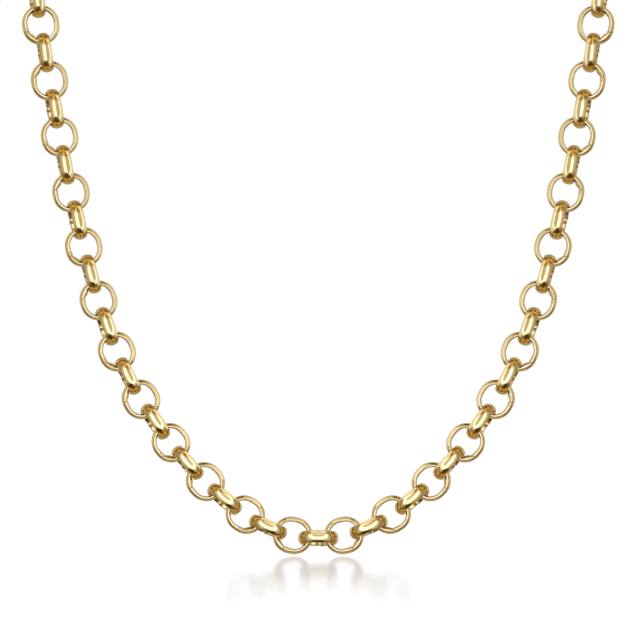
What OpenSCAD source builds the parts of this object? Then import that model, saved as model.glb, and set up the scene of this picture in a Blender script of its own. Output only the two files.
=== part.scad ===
// Rolo chain necklace of domed gold links, held as it hangs round a neck.
// Millimetres. +Z is up and the front faces -Y. The origin is the point at the
// nape where the clasp's inner face rests on the neck.

/* [Link] */
// Outside length of a link along the chain
link_length = 6.7; // [6.4:0.05:7.4]
// Outside breadth of a link across the chain
link_breadth = 6.2; // [5.8:0.05:6.4]
// Width of the domed band that a link is bent from
band_width = 2.05; // [1.6:0.05:2.2]
// Thickness of the band along its middle
band_thickness = 0.84; // [0.76:0.02:0.88]
// Rise of the dome on the outside of the band
dome_rise = 0.48; // [0.3:0.02:0.5]
// Rise of the shallow belly on the inside of the band
belly_rise = 0.24; // [0.14:0.02:0.26]

/* [Hang] */
// Least play between two links where the chain hangs straight
link_play = 0.1; // [0.1:0.02:0.2]
// Roll of the lowest edge-on link and of every second one from there
wide_roll = 7.3; // [0:0.1:9]
// Roll of the edge-on links between those
narrow_roll = 4.3; // [0:0.1:9]

/* [Clasp] */
// Outside diameter of the round spring ring
ring_diameter = 12; // [10:0.5:14]
// Diameter of the tube that the spring ring is bent from
ring_tube = 1.8; // [1.4:0.1:2.2]
// Diameter of the bolt that closes the spring ring
bolt_diameter = 1.2; // [0.9:0.1:1.3]
// Height of the thumb stud above the bolt
stud_height = 1.6; // [1:0.1:2.5]
// Outside diameter of the fixed eye
eye_diameter = 7; // [6.4:0.2:9]
// Diameter of the eye's wire
eye_wire = 1.4; // [1:0.1:1.8]

/* [Hidden] */
$fn = 96;

// Chosen points that steer the right half of the loop, from its lowest link to
// the nape: how far to the right, how far behind the front, how high.
ROUTE = [
    [0, 0, -1.5],
    [14, 0, 3.5],
    [29, 0, 20.5],
    [37, 0, 38],
    [44, 0, 70],
    [47.5, 0, 94],
    [50, 14, 112],
    [51, 35, 122],
    [43, 62, 128],
    [18, 80, 130],
    [0, 80, 130],
];
route_steps = 24;

// How close the links hang: share of the links from the lowest to the nape,
// spacing as a share of the widest.
SPACING = [
    [0.12, 0.91],
    [0.37, 1],
    [0.44, 1],
    [0.51, 0.95],
];
// Share of the way round from which the links turn to lie flat at the nape
turn_from = 0.55;

gold = [0.86, 0.69, 0.38];
pale_gold = [0.9, 0.76, 0.48];

// Link
outer_radius = link_breadth / 2;
inner_radius = outer_radius - band_thickness;
straight_length = link_length - link_breadth;
half_band = band_width / 2;
dome_radius = (half_band ^ 2 + dome_rise ^ 2) / (2 * dome_rise);
belly_radius = (half_band ^ 2 + belly_rise ^ 2) / (2 * belly_rise);
inner_half_length = link_length / 2 - band_thickness;

// The band that passes through a round hole nears it first with its corners,
// and reaches further sideways when it is rolled
corner_reach = half_band * (1 + sin(max(wide_roll, narrow_roll)));
function corner_sag(hole_radius) = hole_radius - sqrt(hole_radius ^ 2 - corner_reach ^ 2);
corner_lift = 2 * max(0, corner_sag(inner_radius) - belly_rise);
taut_pitch = 2 * inner_half_length - corner_lift - link_play;

// Clasp, lengths along X from the middle between its two end links
ring_radius = (ring_diameter - ring_tube) / 2;
ring_inner = ring_diameter / 2 - ring_tube;
eye_radius = (eye_diameter - eye_wire) / 2;
eye_inner = eye_diameter / 2 - eye_wire;
collar_overlap = 0.5;
ring_eye_distance = (ring_diameter + eye_diameter) / 2 - collar_overlap;
ring_bearing = ring_inner - corner_sag(ring_inner) - link_play;
eye_bearing = eye_inner - corner_sag(eye_inner) - link_play;
clasp_reach = (ring_bearing + ring_eye_distance + eye_bearing) / 2 + inner_half_length;
ring_centre_x = ring_bearing + inner_half_length - clasp_reach;
eye_centre_x = ring_centre_x + ring_eye_distance;
bolt_middle = 115;
bolt_sweep = 80;
bolt_seat = 4;

// Route
last = len(ROUTE) - 1;
nape = ROUTE[last];
seat = ring_tube / 2;

function mirrored(p) = [-p.x, p.y, p.z];
function unit(v) = v / norm(v);
function smooth(u) = let (c = min(1, max(0, u))) c * c * (3 - 2 * c);

steering = concat([mirrored(ROUTE[1])], ROUTE, [mirrored(ROUTE[last - 1])]);

// Point of a uniform cubic B-spline between its second and third steering point
function spline_point(a, b, c, d, t) =
    (pow(1 - t, 3) * a
        + (3 * pow(t, 3) - 6 * t * t + 4) * b
        + (-3 * pow(t, 3) + 3 * t * t + 3 * t + 1) * c
        + pow(t, 3) * d) / 6;

function to_frame(p) = p - nape + [0, seat, 0];

path = [
    for (i = [0:last], j = [0:route_steps - 1])
        if (i < last || j == 0)
            let (q = i < last ? i : last - 1, t = i < last ? j / route_steps : 1)
                to_frame(spline_point(steering[q], steering[q + 1], steering[q + 2], steering[q + 3], t))
];

// Way along the route at each of its points
function step_to(i) = i < len(path) ? norm(path[i] - path[i - 1]) : 0;
travel = [for (i = 0, s = 0; i < len(path); i = i + 1, s = s + step_to(i)) s];

function table(axis) = [for (i = [0:len(path) - 1]) [travel[i], path[i][axis]]];
x_table = table(0);
y_table = table(1);
z_table = table(2);
function at(s) = [lookup(s, x_table), lookup(s, y_table), lookup(s, z_table)];
function heading(s) = unit(at(s + 1) - at(s - 1));

// Way along the route at which the last link lies one clasp reach from the middle
nape_half = [
    for (i = [len(path) - 1:-1:0])
        if (travel[i] > travel[len(path) - 1] * 0.8)
            [path[i].x, travel[i]]
];
run_end = lookup(clasp_reach, nape_half);

// Number of links a side, odd so that the last ones lie across the clasp
function total(list, i = 0) = i == len(list) ? 0 : list[i] + total(list, i + 1);
function spacings(n) = [for (k = [1:n]) lookup((k - 0.5) / n, SPACING)];
function fitting_count(n = 1) =
    run_end / total(spacings(n)) <= taut_pitch ? n : fitting_count(n + 2);
side_count = fitting_count();
shares = spacings(side_count);
side_pitch = run_end / total(shares);

function spacing_from(k) = k < side_count ? side_pitch * shares[k] : 0;
stations = [for (k = 0, s = 0; k <= side_count; s = s + spacing_from(k), k = k + 1) s];
centres = [for (s = stations) at(s)];
headings = [for (s = stations) s == 0 ? [1, 0, 0] : heading(s)];

// Normal of the edge-on links, carried along the route without twist
function square_to(v, direction) = unit(v - (v * direction) * direction);
function carried_to(k, n) = k <= side_count ? square_to(n, headings[k]) : n;
carried = [for (k = 0, n = [0, 0, 1]; k <= side_count; k = k + 1, n = carried_to(k, n)) n];

function turned(normal, direction, angle) = normal * cos(angle) + cross(direction, normal) * sin(angle);
nape_normal = carried[side_count];
nape_turn = -atan2(nape_normal.z, -nape_normal.y);

function rearward(k) = smooth((k / side_count - turn_from) / (1 - turn_from));
function roll(k) = k % 2 == 1 ? 90 : (k % 4 == 0 ? wide_roll : narrow_roll) * (1 - rearward(k));
function link_normal(k) = turned(carried[k], headings[k], nape_turn * rearward(k) - roll(k));

// Cross-section of the band, with its inner face at inner_radius
module band_section() {
    intersection() {
        translate([outer_radius - dome_radius, 0])
            circle(dome_radius);
        translate([inner_radius + belly_radius, 0])
            circle(belly_radius);
        translate([0, -half_band])
            square([2 * outer_radius, band_width]);
    }
}

// One link about its own middle, long in X, its hole along Z
module link() {
    for (end = [0, 180])
        rotate([0, 0, end])
            translate([straight_length / 2, 0, 0])
                rotate([0, 0, -90])
                    rotate_extrude(angle = 180)
                        band_section();
    for (side = [0, 180])
        rotate([0, 0, side])
            rotate([90, 0, 90])
                translate([0, 0, -straight_length / 2])
                    linear_extrude(straight_length)
                        band_section();
}

// Moves a link from its own middle to its place on the right half of the loop
module at_station(k) {
    along = headings[k];
    normal = link_normal(k);
    across = cross(normal, along);
    c = centres[k];
    multmatrix([
        [along.x, across.x, normal.x, c.x],
        [along.y, across.y, normal.y, c.y],
        [along.z, across.z, normal.z, c.z],
    ])
        children();
}

module chain_right() {
    color(gold)
        for (k = [0:side_count])
            at_station(k)
                link();
}

module chain_left() {
    color(gold)
        mirror([1, 0, 0])
            for (k = [1:side_count])
                at_station(k)
                    link();
}

// Round wire bent through an angle about the origin, its axis along Z
module bent_wire(radius, wire, from, sweep) {
    rotate([0, 0, from])
        rotate_extrude(angle = sweep)
            translate([radius, 0])
                circle(d = wire, $fn = 48);
}

module clasp() {
    color(pale_gold)
        translate([0, seat, (centres[side_count]).z])
            rotate([90, 0, 0]) {
                translate([ring_centre_x, 0, 0]) {
                    bent_wire(ring_radius, ring_tube, bolt_middle + bolt_sweep / 2, 360 - bolt_sweep);
                    bent_wire(ring_radius, bolt_diameter,
                        bolt_middle - bolt_sweep / 2 - bolt_seat, bolt_sweep + 2 * bolt_seat);
                    rotate([0, 0, bolt_middle - bolt_sweep / 4])
                        translate([ring_radius, 0, 0])
                            rotate([0, 90, 0])
                                cylinder(d = bolt_diameter * 0.8, h = stud_height, $fn = 48);
                }
                translate([eye_centre_x, 0, 0])
                    bent_wire(eye_radius, eye_wire, 0, 360);
            }
}

chain_left();
chain_right();
clasp();
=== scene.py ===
"""Looks of a rolo chain necklace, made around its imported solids.

Metres, in the frame's own axes: +Z up, the wearer's front towards -Y, and the
origin at the nape. Geometry Nodes bend the links, which stand where the solid
links stand. The clasp is skinned from rows of rings.
"""

import logging
import math
from dataclasses import Field
from dataclasses import dataclass
from dataclasses import field
from dataclasses import fields
from enum import Enum
from typing import Optional
from typing import Union

import bpy
import numpy as np
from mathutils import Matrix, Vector

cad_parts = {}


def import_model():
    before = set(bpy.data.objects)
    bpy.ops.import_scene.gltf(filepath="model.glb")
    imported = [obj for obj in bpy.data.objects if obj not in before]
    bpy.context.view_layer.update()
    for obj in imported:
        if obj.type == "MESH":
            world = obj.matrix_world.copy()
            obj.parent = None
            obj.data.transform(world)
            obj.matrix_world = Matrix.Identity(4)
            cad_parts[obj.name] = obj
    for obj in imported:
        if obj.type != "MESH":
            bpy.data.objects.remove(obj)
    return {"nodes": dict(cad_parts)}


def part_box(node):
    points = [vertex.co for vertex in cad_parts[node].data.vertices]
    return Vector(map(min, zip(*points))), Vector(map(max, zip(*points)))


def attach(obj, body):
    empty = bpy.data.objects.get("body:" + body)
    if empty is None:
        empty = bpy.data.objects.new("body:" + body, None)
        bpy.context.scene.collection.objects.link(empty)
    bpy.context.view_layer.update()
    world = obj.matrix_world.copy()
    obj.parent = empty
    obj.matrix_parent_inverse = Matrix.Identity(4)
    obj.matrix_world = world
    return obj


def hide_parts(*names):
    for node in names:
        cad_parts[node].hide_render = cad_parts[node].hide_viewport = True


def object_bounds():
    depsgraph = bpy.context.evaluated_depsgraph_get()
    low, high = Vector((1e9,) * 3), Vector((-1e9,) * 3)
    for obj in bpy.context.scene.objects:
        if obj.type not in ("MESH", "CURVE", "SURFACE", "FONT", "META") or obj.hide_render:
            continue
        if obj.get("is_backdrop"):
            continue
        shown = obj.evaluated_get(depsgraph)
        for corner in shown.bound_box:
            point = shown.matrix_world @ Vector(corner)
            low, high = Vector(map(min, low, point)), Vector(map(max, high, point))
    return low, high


MM = 0.001
BODY = "root"
WHITE = (1.0, 1.0, 1.0)
# A ray of a lower ray depth than this is seen in the gold's first reflection
FIRST_REFLECTION = 2.5
# Azimuths past the front and the rear, for panels that have no edge there
PAST_FRONT = -400.0
PAST_REAR = 400.0

Colour = tuple[float, float, float]

log = logging.getLogger("rolo_chain")


class Formula:
    """A number that nodes work out, extended by ordinary arithmetic."""

    def __init__(self, socket: bpy.types.NodeSocket) -> None:
        """Keeps the socket that carries the number."""
        self.socket = socket

    @property
    def tree(self) -> bpy.types.NodeTree:
        """The tree that the number is worked out in."""
        return self.socket.id_data

    def joined(self, operation: str, *others: "Number") -> "Formula":
        """Adds one math node behind this number.

        Args:
            operation: the math node's operation.
            others: the numbers for its further inputs.

        Returns:
            The node's result.
        """
        node = add_node(self.tree, "ShaderNodeMath", operation=operation)
        for slot, value in zip(node.inputs, (self, *others)):
            feed(value, slot)
        return Formula(node.outputs[0])

    def __add__(self, other: "Number") -> "Formula":
        """Sum."""
        return self.joined("ADD", other)

    def __sub__(self, other: "Number") -> "Formula":
        """Difference."""
        return self.joined("SUBTRACT", other)

    def __mul__(self, other: "Number") -> "Formula":
        """Product."""
        return self.joined("MULTIPLY", other)

    def __truediv__(self, other: "Number") -> "Formula":
        """Quotient."""
        return self.joined("DIVIDE", other)

    def __rsub__(self, other: float) -> "Formula":
        """Difference from a plain number."""
        return self.joined("MULTIPLY", -1.0).joined("ADD", other)

    def held(self, low: float, high: float) -> "Formula":
        """The number, held between two values."""
        return self.joined("MAXIMUM", low).joined("MINIMUM", high)

    def eased(self, low: float, high: float) -> "Formula":
        """A smooth rise from 0 to 1 between two values.

        Args:
            low: the value at which the rise starts.
            high: the value at which it ends; under low, it falls instead.

        Returns:
            The share between 0 and 1.
        """
        falling = low > high
        ramp = {
            "Value": self,
            "From Min": min(low, high),
            "From Max": max(low, high),
            "To Min": 1.0 if falling else 0.0,
            "To Max": 0.0 if falling else 1.0,
        }
        node = add_node(self.tree, "ShaderNodeMapRange", ramp, interpolation_type="SMOOTHSTEP")
        return Formula(pick(node.outputs, "Result"))


Number = Union[Formula, float]
Value = Union[Formula, bpy.types.NodeSocket, bpy.types.Material, Colour, float, str, bool]


def feed(value: Value, slot: bpy.types.NodeSocket) -> None:
    """Links a formula or a socket to an input, or writes a plain value there.

    Args:
        value: what the input gets.
        slot: the input socket.
    """
    if isinstance(value, Formula):
        value = value.socket
    if isinstance(value, bpy.types.NodeSocket):
        slot.id_data.links.new(value, slot)
    elif slot.type == "RGBA":
        slot.default_value = (*value, 1.0)
    else:
        slot.default_value = value


def feed_all(node: bpy.types.Node, inputs: dict[Union[int, str], Value]) -> None:
    """Feeds several inputs of a node.

    Args:
        node: the node.
        inputs: what its inputs get, by number or name.
    """
    for name, value in inputs.items():
        feed(value, pick(node.inputs, name))


def add_node(
    tree: bpy.types.NodeTree,
    kind: str,
    inputs: Optional[dict[Union[int, str], Value]] = None,
    **settings: str,
) -> bpy.types.Node:
    """Adds a node, sets its properties and feeds its inputs.

    Args:
        tree: the tree that gets the node.
        kind: the node's type.
        inputs: what its inputs get, by number or name.
        settings: its properties.

    Returns:
        The node.
    """
    node = tree.nodes.new(kind)
    for name, value in settings.items():
        setattr(node, name, value)
    feed_all(node, inputs or {})
    return node


def pick(sockets: bpy.types.NodeInputs, name: Union[int, str]) -> bpy.types.NodeSocket:
    """Finds a socket among the ones that a node's present settings use.

    Args:
        sockets: the node's inputs or outputs.
        name: the socket's number, or its name, which unused ones may share.

    Returns:
        The socket.
    """
    if isinstance(name, int):
        return sockets[name]
    return next(socket for socket in sockets if socket.name == name and socket.enabled)


def through(place: Formula, knots: list[tuple[Number, Number]]) -> Formula:
    """A number that runs straight from knot to knot.

    Args:
        place: the number that it depends on.
        knots: pairs of a place and the value there, in order.

    Returns:
        The value at that place.
    """
    value = place * 0.0 + knots[0][1]
    for (start, low), (end, high) in zip(knots, knots[1:]):
        value = value + ((place - start) / (end - start)).held(0.0, 1.0) * (high - low)
    return value


def arc_height(across: Formula, half_width: Formula, rise: Formula) -> Formula:
    """Height of a round arc above its chord.

    Args:
        across: how far from the chord's middle.
        half_width: half the chord.
        rise: the arc's height at the middle.

    Returns:
        The height there.
    """
    radius = (half_width * half_width + rise * rise) / (rise * 2.0)
    inside = (radius * radius - across * across).joined("MAXIMUM", 0.0)
    return inside.joined("SQRT") - (radius - rise)


def ray(tree: bpy.types.NodeTree, question: str) -> Formula:
    """What the Light Path node answers about the ray that meets a surface."""
    return Formula(pick(add_node(tree, "ShaderNodeLightPath").outputs, question))


class Facing(Enum):
    """How a link stands to someone who faces the wearer."""

    EDGE_ON = 0
    FACE_ON = 1


@dataclass(eq=False)
class LinkPlace:
    """Where one link is, and which way it lies."""

    centre: np.ndarray
    along: np.ndarray
    normal: np.ndarray
    rank: int = 0

    @property
    def facing(self) -> Facing:
        """Links alternate from the lowest one, which is edge-on."""
        return Facing(self.rank % 2)


@dataclass
class SolidLinks:
    """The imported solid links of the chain, read as places for the finished ones."""

    nodes: dict[str, bpy.types.Object]
    weld: float = 1e-7
    places: dict[str, list[LinkPlace]] = field(default_factory=dict)

    def read(self, right: str, left: str) -> None:
        """Finds every link's place, in order from the lowest link to the nape.

        Args:
            right: node of the right half, which holds the lowest link.
            left: node of the left half.
        """
        right_links = self.loose_links(self.nodes[right].data)
        left_links = self.loose_links(self.nodes[left].data)
        lowest = min(right_links, key=lambda place: place.centre[2])
        middle = np.mean([place.centre for place in right_links + left_links], axis=0)
        self.places[right] = self.in_order(right_links, lowest.centre, 0)
        self.places[left] = self.in_order(left_links, lowest.centre, 1)
        for places in self.places.values():
            self.settle(places, middle)

    def loose_links(self, mesh: bpy.types.Mesh) -> list[LinkPlace]:
        """Splits a node's mesh into its loose solids and measures each.

        Args:
            mesh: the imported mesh, of loose triangles.

        Returns:
            One place for each solid, with its axes' signs still open.
        """
        mesh.calc_loop_triangles()
        points = np.zeros(len(mesh.vertices) * 3)
        mesh.vertices.foreach_get("co", points)
        points = points.reshape(-1, 3)
        corners = np.zeros(len(mesh.loop_triangles) * 3, dtype=np.int64)
        mesh.loop_triangles.foreach_get("vertices", corners)
        keys = np.round(points / self.weld).astype(np.int64)
        _, welded = np.unique(keys, axis=0, return_inverse=True)
        triangles = welded.reshape(-1)[corners.reshape(-1, 3)]
        labels = self.spread_labels(triangles, int(welded.max()) + 1)
        solid_of = labels[triangles[:, 0]]
        shapes = points[corners.reshape(-1, 3)]
        return [self.measured(shapes[solid_of == solid]) for solid in np.unique(solid_of)]

    @staticmethod
    def spread_labels(triangles: np.ndarray, count: int) -> np.ndarray:
        """Gives every point the lowest number among the points it hangs together with.

        Args:
            triangles: three point numbers a row.
            count: how many points there are.

        Returns:
            The label of each point.
        """
        labels = np.arange(count)
        while True:
            lowest = labels[triangles].min(axis=1)
            fresh = labels.copy()
            for corner in range(3):
                np.minimum.at(fresh, triangles[:, corner], lowest)
            fresh = fresh[fresh]
            if np.array_equal(fresh, labels):
                return labels
            labels = fresh

    @staticmethod
    def measured(shapes: np.ndarray) -> LinkPlace:
        """Finds a closed solid's centre of mass and its long and short axes.

        The solid is taken as signed tetrahedra from one point. A tetrahedron's
        centre is a quarter of the sum of its corners, and its second moment a
        twentieth of the sum of their squares and the square of their sum.

        Args:
            shapes: the solid's triangles, each three points.

        Returns:
            Its place, the long axis along the chain and the short one its normal.
        """
        start = shapes.reshape(-1, 3).mean(axis=0)
        a, b, c = (shapes[:, i] - start for i in range(3))
        volume = np.einsum("ij,ij->i", a, np.cross(b, c)) / 6
        total = volume.sum()
        centre = ((a + b + c) * volume[:, None]).sum(axis=0) / (4 * total)
        spread = np.zeros((3, 3))
        for part in (a + b + c, a, b, c):
            spread += np.einsum("i,ij,ik->jk", volume, part, part) / 20
        spread = spread / total - np.outer(centre, centre)
        axes = np.linalg.eigh(spread)[1]
        return LinkPlace(centre=start + centre, along=axes[:, 2], normal=axes[:, 0])

    @staticmethod
    def in_order(links: list[LinkPlace], start: np.ndarray, first_rank: int) -> list[LinkPlace]:
        """Walks from link to nearest link, and numbers them on the way.

        Args:
            links: the links of one half.
            start: the point to walk from.
            first_rank: the number of the first link met.

        Returns:
            The links in order.
        """
        left = list(links)
        ordered = []
        here = start
        while left:
            nearest = min(left, key=lambda place: float(np.sum((place.centre - here) ** 2)))
            left.remove(nearest)
            nearest.rank = first_rank + len(ordered)
            ordered.append(nearest)
            here = nearest.centre
        return ordered

    @staticmethod
    def settle(places: list[LinkPlace], middle: np.ndarray) -> None:
        """Turns each link so that its seam lies where a setter leaves it.

        A face-on link has its seam on the loop's outer side, an edge-on one
        towards the wearer, and every second face-on link lies the other way
        over.

        Args:
            places: the links of one half, in order.
            middle: a point inside the loop.
        """
        for i, place in enumerate(places):
            ahead = places[min(i + 1, len(places) - 1)].centre
            behind = places[max(i - 1, 0)].centre
            if np.dot(place.along, ahead - behind) < 0:
                place.along = -place.along
            across = np.cross(place.normal, place.along)
            outwards = place.centre - middle
            wanted = outwards if place.facing is Facing.FACE_ON else -outwards
            if np.dot(across, wanted) < 0:
                place.normal = -place.normal
            if place.rank % 4 == 3:
                place.along = -place.along
                place.normal = -place.normal


@dataclass(frozen=True)
class GoldFinish:
    """Polished yellow gold, with the fine marks that a mop leaves along the band."""

    name: str
    body: Colour = (1.0, 0.78, 0.39)
    deep: Colour = (0.98, 0.74, 0.34)
    deep_from: tuple[float, float] = (0.35, 0.65)
    # The inner faces' colours are painted shade: darker gold inside the links, and darker still
    # inside the edge-on links.
    inner: Colour = (0.88, 0.68, 0.33)
    edge_on_inner_painted_shade: Colour = (0.86, 0.66, 0.28)
    roughness: float = 0.13
    roughness_spread: float = 0.07
    inner_roughness: float = 0.04
    ripple_size: float = 1.6 * MM
    ripple_depth: float = 0.012 * MM
    ripple_detail: float = 1.5
    mark_length: float = 1.2 * MM
    mark_width: float = 0.07 * MM
    mark_depth: float = 0.0012 * MM
    mark_detail: float = 2.0

    def build(self) -> bpy.types.Material:
        """Makes the material.

        Returns:
            The material, whose patterns follow the pieces' band attribute.
        """
        material = bpy.data.materials.new(self.name)
        material.use_nodes = True
        tree = material.node_tree
        strip = self.attribute(tree, "band", "Vector")
        mark_cell = (self.mark_length, self.mark_width, self.mark_width)
        ripple = self.noise(strip, (self.ripple_size,) * 3, self.ripple_detail)
        marks = self.noise(strip, mark_cell, self.mark_detail)
        inner = Formula(self.attribute(tree, "inner", "Fac")).held(0.0, 1.0)
        face_on = Formula(self.attribute(tree, "facing", "Fac"))
        outside = self.mixed(ripple.eased(*self.deep_from), self.body, self.deep)
        # Painted shade: the inner faces darken, more on edge-on links than on face-on ones.
        inside = self.mixed(face_on, self.edge_on_inner_painted_shade, self.inner)
        rough = (marks - 0.5) * self.roughness_spread + self.roughness
        height = ripple * self.ripple_depth + marks * self.mark_depth
        bump = add_node(tree, "ShaderNodeBump", {"Strength": 1.0, "Distance": 1.0, "Height": height})
        surface = {
            "Metallic": 1.0,
            "Base Color": self.mixed(inner, outside, inside),
            "Roughness": rough + inner * self.inner_roughness,
            "Normal": bump.outputs["Normal"],
        }
        feed_all(tree.nodes["Principled BSDF"], surface)
        return material

    @staticmethod
    def attribute(tree: bpy.types.NodeTree, name: str, result: str) -> bpy.types.NodeSocket:
        """Reads an attribute of the mesh, as the result of that name."""
        return add_node(tree, "ShaderNodeAttribute", attribute_name=name).outputs[result]

    @staticmethod
    def mixed(
        share: Formula,
        first: Union[Colour, bpy.types.NodeSocket],
        second: Union[Colour, bpy.types.NodeSocket],
    ) -> bpy.types.NodeSocket:
        """Mixes two colours.

        Args:
            share: how much of the second there is, 0 to 1.
            first: the colour at 0.
            second: the colour at 1.

        Returns:
            The mixed colour.
        """
        parts = {"Factor": share, "A": first, "B": second}
        return pick(add_node(share.tree, "ShaderNodeMix", parts, data_type="RGBA").outputs, "Result")

    @staticmethod
    def noise(
        where: bpy.types.NodeSocket, cell: tuple[float, float, float], detail: float
    ) -> Formula:
        """Adds a noise pattern with cells of a real size.

        Args:
            where: the coordinates, in metres.
            cell: the size of a cell along each of them.
            detail: how many finer layers lie over it.

        Returns:
            The pattern, about 0.5 on average.
        """
        tree = where.id_data
        scale = tuple(1.0 / size for size in cell)
        mapping = add_node(tree, "ShaderNodeMapping", {"Vector": where, "Scale": scale})
        pattern = {"Vector": mapping.outputs["Vector"], "Scale": 1.0, "Detail": detail}
        return Formula(add_node(tree, "ShaderNodeTexNoise", pattern).outputs[0])


@dataclass(frozen=True)
class LinkSizes:
    """A link bent from a domed band, and the seam where the band's ends meet."""

    length: float = 6.7 * MM
    breadth: float = 6.2 * MM
    band_width: float = 2.05 * MM
    thickness: float = 0.84 * MM
    dome_rise: float = 0.44 * MM
    belly_rise: float = 0.2 * MM
    side_fullness: float = 0.045 * MM
    seam_gap: float = 0.01 * MM
    seam_lean: float = math.radians(16)
    edge_on_lean: float = math.radians(3)
    seam_shift: float = 0.04 * MM
    seam_step: float = 0.16 * MM
    step_reach: float = math.radians(24)
    swell_reach: float = math.radians(28)
    swell: float = 0.33 * MM
    end_rounding: float = 0.08 * MM
    groove_width: float = 0.3 * MM
    groove_depth: float = 0.02 * MM
    edge_on_swell: float = 0.12 * MM
    edge_on_groove_depth: float = 0.26 * MM
    rows: int = 68
    columns: int = 28

    @classmethod
    def labelled(cls) -> dict[str, Field]:
        """The sizes' fields, by the names of the tree's inputs for them."""
        return {size.name.replace("_", " ").title(): size for size in fields(cls)}


class LinkTree:
    """The Geometry Nodes tree that bends one link and sets it at every place."""

    SOCKET_KINDS = {float: "NodeSocketFloat", int: "NodeSocketInt"}
    MATERIAL = "Gold"
    RANDOM_SEED = 7
    TURN = 2 * math.pi
    # How thick the swelling is, by the way from the seam as a share of its reach
    SWELLING = [(0.0, 0.0), (0.36, 0.46), (0.71, 0.83), (1.0, 1.0), (1.28, 0.8), (1.64, 0.05)]
    SWELLING_AT_RIM = 0.5
    # Rows of points that have a place of their own, counted from a cut end
    CUT_ROW = 1.0
    ROUNDED_ROW = 2.0
    GROOVE_ROW = 3.0
    PLAIN_ROW = 4.0
    SWELLING_ROW = 9.0
    SWELLING_FOOT_ROW = 12.0
    # Size of the flat cut end, as a share of the band's section
    CUT_SIZE = 0.94
    # How the section's points crowd at its rims, and how the rims are rounded
    RIM_STRETCH = 1.03
    RIM_ROUNDING = 0.12
    # How quickly a link's round ends part for its straight sides
    END_PUSH = 8.0
    WELD = 0.002 * MM
    SHARP_EDGE = math.radians(60)
    SAME_FACING = 0.1

    def __init__(self) -> None:
        """Builds the tree with its named inputs."""
        self.tree = bpy.data.node_groups.new("rolo_links", "GeometryNodeTree")
        face = self.tree.interface
        kinds = {
            "Places": "NodeSocketGeometry",
            **{label: self.SOCKET_KINDS[size.type] for label, size in LinkSizes.labelled().items()},
            self.MATERIAL: "NodeSocketMaterial",
        }
        self.sockets = {
            name: face.new_socket(name, in_out="INPUT", socket_type=kind)
            for name, kind in kinds.items()
        }
        face.new_socket("Links", in_out="OUTPUT", socket_type="NodeSocketGeometry")
        self.entry = self.node("NodeGroupInput")
        self.exit = self.node("NodeGroupOutput")
        both = self.node("GeometryNodeJoinGeometry")
        for facing, *seam in (
            (Facing.EDGE_ON, "Edge On Lean", "Edge On Swell", "Edge On Groove Depth"),
            (Facing.FACE_ON, "Seam Lean", "Swell", "Groove Depth"),
        ):
            feed(self.set_in_place(self.bent_link(*seam), facing), both.inputs[0])
        feed(self.finish(both.outputs[0]), self.exit.inputs[0])

    def node(
        self,
        kind: str,
        inputs: Optional[dict[Union[int, str], Value]] = None,
        **settings: str,
    ) -> bpy.types.Node:
        """Adds a node to the tree, as add_node does."""
        return add_node(self.tree, kind, inputs, **settings)

    def size(self, name: str) -> Formula:
        """The group input of that name."""
        return Formula(self.entry.outputs[name])

    def bent_link(self, lean: str, swell: str, groove_depth: str) -> bpy.types.NodeSocket:
        """Bends a unit grid into one link, long in X, its hole along Z.

        Args:
            lean: the input that says how far its seam lies from the middle of a side.
            swell: the input that says how much thicker one end of the band is.
            groove_depth: the input that says how deep the grooves beside the seam are.

        Returns:
            The link's geometry.
        """
        unit_grid = {
            "Size X": 1.0,
            "Size Y": 1.0,
            "Vertices X": self.size("Rows"),
            "Vertices Y": self.size("Columns") + 1.0,
        }
        grid = self.node("GeometryNodeMeshGrid", unit_grid)
        position = self.node("GeometryNodeInputPosition").outputs[0]
        flat = self.node("ShaderNodeSeparateXYZ", {0: position})
        row = (Formula(flat.outputs["X"]) + 0.5) * (self.size("Rows") - 1.0)
        around = (Formula(flat.outputs["Y"]) + 0.5) * self.TURN
        swept, width, inner_side, radial, sideways = self.band_point(
            row, around, swell, groove_depth
        )
        bend = swept + (math.pi / 2 - self.size(lean))

        half_straight = (self.size("Length") - self.size("Breadth")) * 0.5
        cosine = bend.joined("COSINE")
        push = (cosine * self.END_PUSH).held(-1.0, 1.0)
        along = cosine * radial + push * half_straight
        bent = self.vector(along, bend.joined("SINE") * radial, sideways)
        strip = self.vector(bend * self.middle_radius(), width, 0.0)
        link = self.store(grid.outputs["Mesh"], "band", strip)
        # The inner faces get painted shade and a rougher finish from this attribute.
        link = self.store(link, "inner", inner_side.socket, kind="FLOAT")
        placed = self.node("GeometryNodeSetPosition", {"Geometry": link, "Position": bent})
        weld = {"Geometry": placed.outputs[0], "Distance": self.WELD}
        return self.smoothed(self.node("GeometryNodeMergeByDistance", weld).outputs[0])

    def half_rim(self) -> Formula:
        """Half the thickness of the band at its two rims."""
        return (self.size("Thickness") - self.size("Dome Rise") - self.size("Belly Rise")) * 0.5

    def middle_radius(self) -> Formula:
        """Radius of the plane through the band's two rims."""
        return self.size("Breadth") * 0.5 - self.size("Dome Rise") - self.half_rim()

    def band_point(
        self, row: Formula, around: Formula, swell: str, groove_depth: str
    ) -> tuple[Formula, Formula, Formula, Formula, Formula]:
        """Works out where a point of the band lies.

        Args:
            row: its row along the band, from 0.
            around: its angle about the band's section, 0 on the dome's crest.
            swell: the input that says how much thicker one end of the band is.
            groove_depth: the input that says how deep the grooves beside the seam are.

        Returns:
            The angle swept from the seam, the place across the band, 1 on the
            inner face and 0 on the dome, the distance from the link's axis, and
            along it.
        """
        last = self.size("Rows") - 1.0
        swept = self.swept_angle(row, last)
        to_end = self.TURN - swept
        from_end = row.joined("MINIMUM", last - row)
        cut = [(0.0, 0.0), (self.CUT_ROW, self.CUT_SIZE), (self.ROUNDED_ROW, 1.0)]
        groove = [(self.ROUNDED_ROW, 0.0), (self.GROOVE_ROW, 1.0), (self.PLAIN_ROW, 0.0)]
        full = through(from_end, cut)
        dip = through(from_end, groove)

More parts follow.
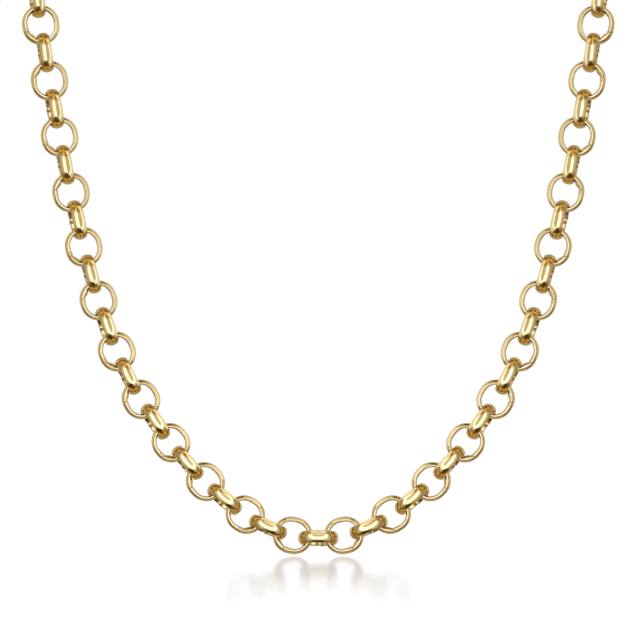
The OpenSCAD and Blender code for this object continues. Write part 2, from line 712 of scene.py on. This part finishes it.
        half_width = self.size("Band Width") * 0.5
        cosine = around.joined("COSINE")
        width = (around.joined("SINE") * self.RIM_STRETCH).held(-1.0, 1.0) * half_width
        rim = self.half_rim() * cosine.joined("ABSOLUTE").joined("POWER", self.RIM_ROUNDING)
        dome = rim + arc_height(width, half_width, self.size("Dome Rise"))
        belly = rim + arc_height(width, half_width, self.size("Belly Rise"))
        start_share = (1.0 - swept / self.size("Step Reach")).held(0.0, 1.0)
        end_share = (1.0 - to_end / self.size("Step Reach")).held(0.0, 1.0)
        thicker = through(to_end / self.size("Swell Reach"), self.SWELLING) * self.size(swell)
        arch = 1.0 - (width / half_width) * (width / half_width)
        fullness = ((swept * 2.0).joined("COSINE") * 0.5 + 0.5) * self.size("Side Fullness")
        at_rim = self.SWELLING_AT_RIM
        belly = belly + thicker * (arch * (1.0 - at_rim) + at_rim) + fullness * arch
        belly = belly + start_share * self.size("Seam Step")
        belly = belly - dip * self.size(groove_depth)
        inner_side = cosine.joined("LESS_THAN", 0.0)
        height = dome * (1.0 - inner_side) - belly * inner_side
        centre = (self.size("Dome Rise") - self.size("Belly Rise")) * 0.5
        radial = self.middle_radius() + centre + (height - centre) * full
        sideways = width * full + (start_share - end_share) * self.size("Seam Shift")
        return swept, width, inner_side, radial, sideways

    def swept_angle(self, row: Formula, last: Formula) -> Formula:
        """Spaces the rows along the band, closer at the seam, its grooves and its swelling.

        Args:
            row: the row, from 0.
            last: the last row.

        Returns:
            The angle swept from the seam.
        """
        radius = self.middle_radius()
        half_gap = self.size("Seam Gap") * 0.5 / radius
        rounded = half_gap + self.size("End Rounding") / radius
        groove = self.size("Groove Width") / radius
        reach = self.size("Swell Reach")
        plain_end = [
            (self.CUT_ROW, half_gap),
            (self.ROUNDED_ROW, rounded),
            (self.GROOVE_ROW, rounded + groove * 0.5),
            (self.PLAIN_ROW, rounded + groove),
        ]
        swelling = [
            (self.SWELLING_ROW, reach),
            (self.SWELLING_FOOT_ROW, reach * self.SWELLING[-1][0]),
        ]
        thick_end = reversed(plain_end + swelling)
        return through(row, plain_end + [(last - n, self.TURN - angle) for n, angle in thick_end])

    def vector(self, x: Number, y: Number, z: Number) -> bpy.types.NodeSocket:
        """Joins three numbers into a vector."""
        return self.node("ShaderNodeCombineXYZ", {0: x, 1: y, 2: z}).outputs[0]

    def store(
        self,
        geometry: bpy.types.NodeSocket,
        name: str,
        value: bpy.types.NodeSocket,
        domain: str = "POINT",
        kind: str = "FLOAT_VECTOR",
    ) -> bpy.types.NodeSocket:
        """Stores an attribute.

        Args:
            geometry: the geometry that gets it.
            name: the attribute's name.
            value: its value.
            domain: POINT or INSTANCE.
            kind: FLOAT_VECTOR or FLOAT.

        Returns:
            The geometry with the attribute.
        """
        inputs = {"Geometry": geometry, "Name": name, "Value": value}
        node = self.node("GeometryNodeStoreNamedAttribute", inputs, data_type=kind, domain=domain)
        return node.outputs[0]

    def named(self, name: str, kind: str = "FLOAT_VECTOR") -> bpy.types.NodeSocket:
        """Reads the attribute of that name and kind."""
        node = self.node("GeometryNodeInputNamedAttribute", {"Name": name}, data_type=kind)
        return pick(node.outputs, "Attribute")

    def smoothed(self, geometry: bpy.types.NodeSocket) -> bpy.types.NodeSocket:
        """Shades the band smooth but keeps the edges of its cut ends.

        Args:
            geometry: the link.

        Returns:
            The shaded link.
        """
        smooth = self.node("GeometryNodeSetShadeSmooth", {"Geometry": geometry}, domain="FACE")
        angle = self.node("GeometryNodeInputMeshEdgeAngle").outputs["Unsigned Angle"]
        edges = {
            "Geometry": smooth.outputs[0],
            "Selection": Formula(angle).joined("GREATER_THAN", self.SHARP_EDGE),
            "Shade Smooth": False,
        }
        return self.node("GeometryNodeSetShadeSmooth", edges, domain="EDGE").outputs[0]

    def set_in_place(self, link: bpy.types.NodeSocket, facing: Facing) -> bpy.types.NodeSocket:
        """Sets the link at every place of its kind, each with its own stretch of finish.

        Args:
            link: the bent link.
            facing: which places it is for.

        Returns:
            The links, as instances.
        """
        axes = {"Primary Axis": self.named("along"), "Secondary Axis": self.named("normal")}
        turn = self.node("FunctionNodeAxesToRotation", axes, primary_axis="X", secondary_axis="Z")
        other = Formula(self.named("facing", "FLOAT")) - facing.value
        setting = {
            "Points": self.entry.outputs["Places"],
            "Selection": other.joined("COMPARE", 0.0, self.SAME_FACING),
            "Instance": link,
            "Rotation": turn.outputs[0],
        }
        setter = self.node("GeometryNodeInstanceOnPoints", setting)
        seed = {"Seed": self.RANDOM_SEED + facing.value}
        chance = self.node("FunctionNodeRandomValue", seed, data_type="FLOAT_VECTOR")
        return self.store(setter.outputs[0], "chance", pick(chance.outputs, "Value"), "INSTANCE")

    def finish(self, links: bpy.types.NodeSocket) -> bpy.types.NodeSocket:
        """Makes the instances real, moves their finish apart and sets the gold.

        Args:
            links: the links, as instances.

        Returns:
            The links as one mesh.
        """
        real = self.node("GeometryNodeRealizeInstances", {"Geometry": links})
        shift = {0: self.named("band"), 1: self.named("chance")}
        apart = self.node("ShaderNodeVectorMath", shift, operation="ADD")
        moved = self.store(real.outputs[0], "band", apart.outputs[0])
        gold = {"Geometry": moved, "Material": self.entry.outputs[self.MATERIAL]}
        return self.node("GeometryNodeSetMaterial", gold).outputs[0]


@dataclass
class Piece:
    """A finished piece of the necklace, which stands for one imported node."""

    name: str
    node: str
    slot: str
    finish: bpy.types.Material

    def made_of(self, mesh: bpy.types.Mesh) -> bpy.types.Object:
        """Makes the piece of its mesh and puts it in its node's stead.

        Args:
            mesh: the finished mesh, in its place.

        Returns:
            The finished piece.
        """
        mesh.name = self.name
        piece = bpy.data.objects.new(self.name, mesh)
        bpy.context.scene.collection.objects.link(piece)
        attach(piece, BODY)
        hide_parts(self.node)
        log.info("%s: %d faces", self.name, len(mesh.polygons))
        return piece


@dataclass
class Chain(Piece):
    """One half of the chain as a single mesh of finished links."""

    places: list[LinkPlace]
    sizes: LinkSizes

    def build(self, tree: LinkTree) -> bpy.types.Object:
        """Sets a finished link at every place.

        Args:
            tree: the tree that bends and sets them.

        Returns:
            The finished piece.
        """
        log.info("%s: %d links", self.name, len(self.places))
        holder = self.points()
        modifier = holder.modifiers.new("links", "NODES")
        modifier.node_group = tree.tree
        for label, size in LinkSizes.labelled().items():
            modifier[tree.sockets[label].identifier] = getattr(self.sizes, size.name)
        modifier[tree.sockets[LinkTree.MATERIAL].identifier] = self.finish
        graph = bpy.context.evaluated_depsgraph_get()
        mesh = bpy.data.meshes.new_from_object(holder.evaluated_get(graph))
        bpy.data.objects.remove(holder)
        return self.made_of(mesh)

    def points(self) -> bpy.types.Object:
        """Makes the points that the links are set on.

        Returns:
            An object of loose points with each link's axes as attributes.
        """
        mesh = bpy.data.meshes.new(self.name + "_places")
        mesh.from_pydata([tuple(place.centre) for place in self.places], [], [])
        for name in ("along", "normal"):
            attribute = mesh.attributes.new(name, "FLOAT_VECTOR", "POINT")
            values = np.array([getattr(place, name) for place in self.places])
            attribute.data.foreach_set("vector", values.ravel())
        # Besides choosing each link's shape, this gives the edge-on links' inner faces a darker
        # painted shade.
        facing = mesh.attributes.new("facing", "FLOAT", "POINT")
        facing.data.foreach_set("value", [place.facing.value for place in self.places])
        holder = bpy.data.objects.new(self.name + "_places", mesh)
        bpy.context.scene.collection.objects.link(holder)
        return holder


@dataclass
class Clasp(Piece):
    """The spring ring behind the neck, with its bolt, thumb stud, eye and collar.

    Turns are in degrees about the ring's middle, from the eye upwards.
    """

    ring_diameter: float = 12 * MM
    ring_tube: float = 1.8 * MM
    mouth: tuple[float, float] = (75.0, 155.0)
    # The raised rims at the mouth: their length and slope in degrees
    rim_length: float = 9.0
    rim_slope: float = 0.8
    rim_height: float = 0.06 * MM
    rim_edge: float = 0.1 * MM
    bolt_diameter: float = 1.2 * MM
    bolt_seat: float = 4.0
    stud_turn: float = 95.0
    stud_height: float = 1.6 * MM
    stud_diameter: float = 0.96 * MM
    # The stud's rounded head: its height, and the share of the stud's width on top
    head_height: float = 0.3 * MM
    head_flat: float = 0.4
    head_angles: tuple[float, ...] = (15, 30, 50, 70, 90)
    eye_diameter: float = 7 * MM
    eye_wire: float = 1.4 * MM
    collar_radius: float = 0.85 * MM
    collar_grip: float = 0.72 * MM
    collar_bluntness: float = 0.7
    collar_angles: tuple[float, ...] = (-85, -75, -60, -40, -20, 0, 20, 40, 60, 75, 85)
    # How many rings the pieces are skinned from, and how many sides each has
    ring_steps: int = 66
    bolt_steps: int = 23
    eye_steps: int = 60
    sides: int = 28
    points: list[Vector] = field(default_factory=list)
    faces: list[tuple[int, ...]] = field(default_factory=list)
    strip: list[tuple[float, float, float]] = field(default_factory=list)

    def build(self) -> bpy.types.Object:
        """Makes the clasp where its solid is.

        Returns:
            The finished piece.
        """
        low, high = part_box(self.node)
        middle = (low[1] + high[1]) / 2
        height = low[2] + self.ring_diameter / 2
        ring_middle = Vector((low[0] + self.ring_diameter / 2, middle, height))
        eye_middle = Vector((high[0] - self.eye_diameter / 2, middle, height))
        self.add_ring(ring_middle)
        self.add_bolt(ring_middle)
        self.add_stud(ring_middle)
        self.add_eye(eye_middle)
        self.add_collar(ring_middle, eye_middle)
        mesh = bpy.data.meshes.new(self.name)
        mesh.from_pydata(self.points, [], self.faces)
        mesh.materials.append(self.finish)
        band = mesh.attributes.new("band", "FLOAT_VECTOR", "POINT")
        band.data.foreach_set("vector", np.array(self.strip, dtype=np.float32).ravel())
        mesh.polygons.foreach_set("use_smooth", [True] * len(mesh.polygons))
        return self.made_of(mesh)

    @property
    def ring_radius(self) -> float:
        """Radius of the circle that the ring's tube and its bolt are bent along."""
        return (self.ring_diameter - self.ring_tube) / 2

    def add_ring(self, middle: Vector) -> None:
        """Adds the hollow ring, with a raised rim at each end of its mouth.

        Args:
            middle: the ring's middle.
        """
        start, end = self.mouth[1], self.mouth[0] + 360
        tube = self.ring_tube / 2
        rim = [
            (0.0, self.bolt_diameter / 2),
            (0.0, tube - self.rim_edge),
            (self.rim_slope, tube + self.rim_height),
            (self.rim_length - self.rim_slope, tube + self.rim_height),
            (self.rim_length, tube),
        ]
        plain = np.linspace(start + self.rim_length, end - self.rim_length, self.ring_steps)
        stations = [(start + turn, size) for turn, size in rim]
        stations += [(turn, tube) for turn in plain[1:-1]]
        stations += [(end - turn, size) for turn, size in reversed(rim)]
        self.add_wire(middle, self.ring_radius, stations, closed=False)

    def add_bolt(self, middle: Vector) -> None:
        """Adds the bolt across the mouth.

        Args:
            middle: the ring's middle.
        """
        start, end = self.mouth[0] - self.bolt_seat, self.mouth[1] + self.bolt_seat
        turns = np.linspace(start, end, self.bolt_steps)
        bolt = [(turn, self.bolt_diameter / 2) for turn in turns]
        self.add_wire(middle, self.ring_radius, bolt, closed=False)

    def add_stud(self, middle: Vector) -> None:
        """Adds the round-headed stud that draws the bolt back.

        Args:
            middle: the ring's middle.
        """
        turn = math.radians(self.stud_turn)
        out = Vector((math.cos(turn), 0.0, math.sin(turn)))
        side = Vector((out.z, 0.0, -out.x))
        foot = middle + out * self.ring_radius
        half = self.stud_diameter / 2
        neck = self.stud_height - self.head_height
        profile = [(0.0, half), (neck, half)]
        for angle in np.radians(self.head_angles):
            share = self.head_flat + (1 - self.head_flat) * math.cos(angle)
            profile.append((neck + self.head_height * math.sin(angle), half * share))
        self.add_rings([(foot + out * up, side, size) for up, size in profile], closed=False)

    def add_eye(self, middle: Vector) -> None:
        """Adds the fixed eye.

        Args:
            middle: the eye's middle.
        """
        turns = [360 / self.eye_steps * i for i in range(self.eye_steps)]
        wire = [(turn, self.eye_wire / 2) for turn in turns]
        self.add_wire(middle, (self.eye_diameter - self.eye_wire) / 2, wire, closed=True)

    def add_collar(self, ring_middle: Vector, eye_middle: Vector) -> None:
        """Adds the bead of solder between the ring and the eye.

        Args:
            ring_middle: the ring's middle.
            eye_middle: the eye's middle.
        """
        start = ring_middle.x + self.ring_diameter / 2 - self.collar_grip
        end = eye_middle.x - self.eye_diameter / 2 + self.collar_grip
        centre, half = (start + end) / 2, (end - start) / 2
        rings = []
        for angle in np.radians(self.collar_angles):
            where = Vector((centre + half * math.sin(angle), ring_middle.y, ring_middle.z))
            size = self.collar_radius * math.cos(angle) ** self.collar_bluntness
            rings.append((where, Vector((0.0, 0.0, -1.0)), size))
        self.add_rings(rings, closed=False)

    def add_wire(
        self, middle: Vector, radius: float, stations: list[tuple[float, float]], closed: bool
    ) -> None:
        """Adds a wire bent round a point, upright and facing the neck.

        Args:
            middle: the point.
            radius: the wire's distance from it.
            stations: pairs of an angle in degrees and the wire's half thickness there.
            closed: whether it is a whole ring.
        """
        rings = []
        for turn, size in stations:
            angle = math.radians(turn)
            out = Vector((math.cos(angle), 0.0, math.sin(angle)))
            rings.append((middle + out * radius, out, size))
        self.add_rings(rings, closed)

    def add_rings(self, rings: list[tuple[Vector, Vector, float]], closed: bool) -> None:
        """Skins a row of rings, which all stand square to the middle plane.

        Args:
            rings: each ring's middle, the direction of its first point and its size.
            closed: whether the last one joins the first.
        """
        start = len(self.points)
        along, before = 0.0, rings[0][0]
        for where, out, size in rings:
            along += (where - before).length
            before = where
            for i in range(self.sides):
                angle = 2 * math.pi * i / self.sides
                offset = out * math.cos(angle) + Vector((0.0, 1.0, 0.0)) * math.sin(angle)
                self.points.append(where + offset * size)
                self.strip.append((along, angle * size, 0.0))
        joins = len(rings) if closed else len(rings) - 1
        for row in range(joins):
            here = start + row * self.sides
            there = start + (row + 1) % len(rings) * self.sides
            for i in range(self.sides):
                j = (i + 1) % self.sides
                self.faces.append((here + i, here + j, there + j, there + i))
        if not closed:
            stop = start + joins * self.sides
            self.faces.append(tuple(range(start + self.sides - 1, start - 1, -1)))
            self.faces.append(tuple(range(stop, stop + self.sides)))


@dataclass(frozen=True)
class Panel:
    """A soft light or dark patch of the studio, as seen from the necklace.

    Angles in degrees: azimuth 0 towards the camera and positive to either
    side, elevation positive upwards.
    """

    azimuth: tuple[float, float]
    elevation: tuple[float, float]
    kept: Colour
    softness: float

    def mask(self, azimuth: Formula, elevation: Formula) -> Formula:
        """How much of the panel shows in a direction.

        Args:
            azimuth: the direction's azimuth.
            elevation: its elevation.

        Returns:
            A share from 0 to 1.
        """
        (start, end), (bottom, top) = self.azimuth, self.elevation
        soft = self.softness / 2
        sides = azimuth.eased(start - soft, start + soft) * azimuth.eased(end + soft, end - soft)
        ends = elevation.eased(bottom - soft, bottom + soft)
        return sides * ends * elevation.eased(top + soft, top - soft)


@dataclass
class StudioLight:
    """A lit piece of the studio that only the gold's reflections see, from its front."""

    name: str
    colour: Colour
    strength: float = 1.0
    tree: bpy.types.NodeTree = field(init=False)

    def shape(
        self,
        points: list[tuple[float, float, float]],
        sides: list[tuple[int, int, int, int]],
    ) -> tuple[Formula, Formula, Formula]:
        """Makes the piece's mesh and an empty material.

        Args:
            points: its corners.
            sides: its faces.

        Returns:
            The three coordinates of a place on it, for its pattern.
        """
        mesh = bpy.data.meshes.new(self.name)
        mesh.from_pydata(points, [], sides)
        card = bpy.data.objects.new(self.name, mesh)
        bpy.context.scene.collection.objects.link(card)
        for kind in ("camera", "diffuse", "transmission", "volume_scatter", "shadow"):
            setattr(card, "visible_" + kind, False)
        card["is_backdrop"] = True
        material = bpy.data.materials.new(self.name + "_light")
        material.use_nodes = True
        mesh.materials.append(material)
        self.tree = material.node_tree
        self.tree.nodes.remove(self.tree.nodes["Principled BSDF"])
        return own_place(self.tree)

    def on_front(self, pattern: Formula) -> Formula:
        """Keeps a pattern on the piece's front alone, and out of the floor's mirror.

        Args:
            pattern: the pattern.

        Returns:
            The pattern where it still shows.
        """
        side = add_node(self.tree, "ShaderNodeNewGeometry").outputs["Backfacing"]
        pattern = pattern * (1.0 - ray(self.tree, "Is Singular Ray"))
        return pattern * (1.0 - Formula(side))

    def shade(self, pattern: Formula) -> None:
        """Tints what is seen through the piece.

        Args:
            pattern: how strongly it tints at a place, 0 to 1.
        """
        tint = self.on_front(pattern)
        shares = {i: 1.0 - tint * (1.0 - kept) for i, kept in enumerate(self.colour)}
        colour = add_node(self.tree, "ShaderNodeCombineColor", shares).outputs[0]
        clear = add_node(self.tree, "ShaderNodeBsdfTransparent", {"Color": colour})
        feed_all(self.tree.nodes["Material Output"], {"Surface": clear.outputs[0]})

    def shine(self, pattern: Formula) -> None:
        """Adds its light to what lies behind it.

        Args:
            pattern: how strongly it shines at a place, 0 to 1.
        """
        first = ray(self.tree, "Ray Depth").joined("LESS_THAN", FIRST_REFLECTION)
        lit = self.on_front(pattern) * first
        light = {"Color": self.colour, "Strength": lit * self.strength}
        glow = add_node(self.tree, "ShaderNodeEmission", light).outputs[0]
        clear = add_node(self.tree, "ShaderNodeBsdfTransparent").outputs[0]
        both = add_node(self.tree, "ShaderNodeAddShader", {0: clear, 1: glow}).outputs[0]
        feed_all(self.tree.nodes["Material Output"], {"Surface": both})


def own_place(tree: bpy.types.NodeTree) -> tuple[Formula, Formula, Formula]:
    """Reads the Object coordinates of a place.

    Args:
        tree: the material's tree.

    Returns:
        The three coordinates.
    """
    where = add_node(tree, "ShaderNodeTexCoord").outputs["Object"]
    split = add_node(tree, "ShaderNodeSeparateXYZ", {0: where})
    return tuple(Formula(split.outputs[axis]) for axis in "XYZ")


@dataclass
class Studio:
    """A warm tent with cool soft panels, a pale floor and the camera."""

    tent: Colour = (0.77, 0.695, 0.5)
    main_light: Colour = (1.34, 1.5, 2.12)
    main_panel: Panel = Panel((PAST_FRONT, 84), (-43, 41), (0.0, 0.0, 0.0), softness=12)
    panels: tuple[Panel, ...] = (
        Panel((70, 104), (-66, 50), (0.42, 0.4, 0.34), softness=14),
        Panel((104, PAST_REAR), (-66, 50), (0.76, 0.78, 0.84), softness=14),
        Panel((150, PAST_REAR), (-66, 50), (0.7, 0.7, 0.66), softness=16),
        Panel((-1, PAST_REAR), (46, 95), (1.0, 0.86, 0.64), softness=20),
        Panel((112, PAST_REAR), (50, 84), (0.4, 0.36, 0.3), softness=14),
        Panel((-1, 34), (-95, -43), (0.14, 0.1, 0.05), softness=10),
        Panel((34, 100), (-95, -54), (0.34, 0.26, 0.15), softness=12),
        Panel((100, PAST_REAR), (58, 92), (0.3, 0.24, 0.15), softness=10),
        Panel((95, PAST_REAR), (-95, -66), (0.6, 0.5, 0.4), softness=20),
        Panel((88, 155), (-60, -18), (0.48, 0.42, 0.33), softness=14),
    )
    backdrop: float = 1.0
    screen_tint: Colour = (0.41, 0.35, 0.23)
    screen_distance: float = 50 * MM
    screen_half: float = 400 * MM
    # The clear stretch of the screen: the feet and half widths of its inner and outer outline
    opening_foot: tuple[float, float] = (-124 * MM, -162 * MM)
    opening_half: tuple[float, float] = (40 * MM, 74 * MM)
    opening_height: float = 90 * MM
    opening_roundness: float = 2.2
    opening_edge: tuple[float, float] = (0.8, 1.2)
    tube_light: float = 0.55
    tube_colour: Colour = (0.84, 1.01, 1.22)
    tube_outline: tuple[tuple[float, float], ...] = (
        (-10, 40),
        (-10, -75),
        (-13, -90),
        (-13, -105),
        (-8, -113),
        (0, -117),
    )
    tube_depth: tuple[float, float] = (-30 * MM, 74 * MM)
    tube_softness: float = 12 * MM
    # What is left of its light behind the front of the necklace, and how soon
    tube_behind: float = 0.2
    tube_fall: float = 12 * MM
    floor_tone: Colour = (0.4, 0.4, 0.4)
    floor_roughness: float = 0.9
    floor_glow: float = 0.64
    floor_gloss: float = 0.44
    floor_ripple: float = 0.005
    gloss_fade: tuple[float, float] = (100 * MM, 700 * MM)
    floor_drop: float = 0.2 * MM
    floor_reach: float = 4.0
    front: float = -79.1 * MM
    eye_height: float = -93.47 * MM
    eye_right: float = 0.28 * MM
    eye_distance: float = 3.0
    eye_reach: float = 100.0
    picture_width: float = 106.67 * MM
    sensor: float = 36.0

    def build(self, lowest: float) -> None:
        """Sets up the whole studio.

        Args:
            lowest: height of the lowest point of the necklace.
        """
        self.set_light()
        self.hang_screen()
        self.hang_tube()
        self.lay_floor(lowest - self.floor_drop)
        self.place_camera()
        bpy.context.scene.view_settings.view_transform = "Standard"

    def set_light(self) -> None:
        """Fills the world with the tent's light, and white where the camera looks past."""
        world = bpy.data.worlds.new("studio")
        world.use_nodes = True
        bpy.context.scene.world = world
        tree = world.node_tree
        where = add_node(tree, "ShaderNodeTexCoord").outputs["Generated"]
        split = add_node(tree, "ShaderNodeSeparateXYZ", {0: where})
        x, y, z = (Formula(split.outputs[axis]) for axis in "XYZ")
        degrees = 180 / math.pi
        azimuth = (x.joined("ARCTAN2", y * -1.0) * degrees).joined("ABSOLUTE")
        elevation = z.joined("ARCSINE") * degrees
        first = ray(tree, "Ray Depth").joined("LESS_THAN", FIRST_REFLECTION)
        mask = self.main_panel.mask(azimuth, elevation) * first
        light = [
            (1.0 - mask) * tent + mask * lit for tent, lit in zip(self.tent, self.main_light)
        ]
        for panel in self.panels:
            mask = panel.mask(azimuth, elevation)
            light = [
                value * (1.0 - mask * (1.0 - kept)) for value, kept in zip(light, panel.kept)
            ]
        plain = ray(tree, "Is Camera Ray") + ray(tree, "Is Diffuse Ray")
        plain = (plain + ray(tree, "Is Singular Ray")).held(0.0, 1.0)
        seen = {i: v * (1.0 - plain) + plain * self.backdrop for i, v in enumerate(light)}
        colour = add_node(tree, "ShaderNodeCombineColor", seen).outputs[0]
        feed_all(tree.nodes["Background"], {"Color": colour, "Strength": 1.0})

    def hang_screen(self) -> None:
        """Hangs a tinted screen in front, clear along the necklace's own outline."""
        y = self.front - self.screen_distance
        edge = self.screen_half
        outline = [(edge, y, -edge), (-edge, y, -edge), (-edge, y, edge), (edge, y, edge)]
        screen = StudioLight("front_screen", self.screen_tint)
        across, _, up = screen.shape(outline, [(0, 1, 2, 3)])
        inner, outer = (
            self.reach(across, up, half, foot)
            for half, foot in zip(self.opening_half, self.opening_foot)
        )
        start, end = self.opening_edge
        screen.shade(1.0 - inner.eased(start, end) * outer.eased(end, start))

    def reach(self, across: Formula, up: Formula, half: float, foot: float) -> Formula:
        """How far out a place lies, against an outline that is rounded at its foot.

        Args:
            across: the place's distance to the right.
            up: its height.
            half: half the outline's width.
            foot: height of its lowest point.

        Returns:
            A number that is 1 on the outline.
        """
        drop = ((foot + self.opening_height - up) / self.opening_height).joined("MAXIMUM", 0.0)
        aside = across.joined("ABSOLUTE") / half
        bend = self.opening_roundness
        return aside.joined("POWER", bend) + drop.joined("POWER", bend)

    def hang_tube(self) -> None:
        """Hangs a lit tube inside the loop, so that every link is lit from the middle."""
        near, far = (self.front + reach for reach in self.tube_depth)
        half = [(x * MM, z * MM) for x, z in self.tube_outline]
        outline = half + [(-x, z) for x, z in reversed(half[:-1])]
        points = [(x, y, z) for x, z in outline for y in (near, far)]
        sides = [(2 * i, 2 * i + 1, 2 * i + 3, 2 * i + 2) for i in range(len(outline) - 1)]
        light = StudioLight("inner_tube", self.tube_colour, self.tube_light)
        _, along, _ = light.shape(points, sides)
        soft = self.tube_softness
        turn = self.front
        level = 1.0 - along.eased(turn, turn + self.tube_fall) * (1.0 - self.tube_behind)
        light.shine(level * along.eased(near, near + soft) * along.eased(far, far - soft))

    def lay_floor(self, height: float) -> None:
        """Lays a pale floor just under the necklace.

        Args:
            height: the floor's height.
        """
        mesh = bpy.data.meshes.new("floor")
        reach = self.floor_reach
        outline = [(-reach, -reach), (reach, -reach), (reach, reach), (-reach, reach)]
        mesh.from_pydata([(x, y, height) for x, y in outline], [], [(0, 1, 2, 3)])
        mesh.materials.append(self.floor_finish())
        floor = bpy.data.objects.new("floor", mesh)
        bpy.context.scene.collection.objects.link(floor)
        floor.visible_glossy = False
        floor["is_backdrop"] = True

    def floor_finish(self) -> bpy.types.Material:
        """Makes the floor's material, which mirrors faintly close to the necklace.

        Returns:
            The material.
        """
        material = bpy.data.materials.new("pale_floor")
        material.use_nodes = True
        tree = material.node_tree
        shader = tree.nodes["Principled BSDF"]
        pale = {
            "Base Color": self.floor_tone,
            "Roughness": self.floor_roughness,
            "Specular IOR Level": 0.0,
            "Emission Color": WHITE,
            "Emission Strength": self.floor_glow,
        }
        feed_all(shader, pale)
        where = add_node(tree, "ShaderNodeTexCoord").outputs["Object"]
        grain = add_node(tree, "ShaderNodeTexWhiteNoise", {"Vector": where}).outputs["Color"]
        split = add_node(tree, "ShaderNodeSeparateColor", {0: grain})
        red, green, blue = (Formula(share) for share in split.outputs)
        tilts = [(share + blue - 1.0) * self.floor_ripple for share in (red, green)]
        normal = add_node(tree, "ShaderNodeCombineXYZ", {0: tilts[0], 1: tilts[1], 2: 1.0})
        mirror = {"Color": WHITE, "Roughness": 0.0, "Normal": normal.outputs[0]}
        gloss = add_node(tree, "ShaderNodeBsdfAnisotropic", mirror)
        aside, ahead, _ = own_place(tree)
        ahead = ahead - self.front
        away = (aside * aside + ahead * ahead).joined("SQRT")
        share = away.eased(*reversed(self.gloss_fade)) * self.floor_gloss
        layers = {0: share, 1: shader.outputs[0], 2: gloss.outputs[0]}
        mix = add_node(tree, "ShaderNodeMixShader", layers)
        feed_all(tree.nodes["Material Output"], {"Surface": mix.outputs[0]})
        return material

    def place_camera(self) -> None:
        """Looks level at the front of the necklace, from the photograph's side."""
        data = bpy.data.cameras.new("camera")
        data.sensor_width = self.sensor
        data.lens = self.sensor * self.eye_distance / self.picture_width
        data.clip_end = self.eye_reach
        log.info("camera lens %.0f mm", data.lens)
        camera = bpy.data.objects.new("camera", data)
        camera.location = (self.eye_right, self.front - self.eye_distance, self.eye_height)
        camera.rotation_euler = (math.pi / 2, 0.0, 0.0)
        bpy.context.scene.collection.objects.link(camera)
        bpy.context.scene.camera = camera


def corners(box: tuple[Vector, Vector]) -> list[list[float]]:
    """A box's two corners as plain lists of numbers."""
    return [[float(value) for value in corner] for corner in box]


def main() -> None:
    """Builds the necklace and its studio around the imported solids."""
    logging.basicConfig(level=logging.INFO, format="%(name)s: %(message)s")
    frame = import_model()
    solid_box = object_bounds()
    links = SolidLinks(frame["nodes"])
    links.read(right="chain_right", left="chain_left")
    gold = GoldFinish("polished_gold").build()
    tree = LinkTree()
    for side in ("left", "right"):
        node = "chain_" + side
        Chain("links_" + side, node, "links", gold, links.places[node], LinkSizes()).build(tree)
    Clasp("spring_ring", "clasp", "clasp", gold).build()
    Studio().build(lowest=solid_box[0][2])


if __name__ == "__main__":
    main()
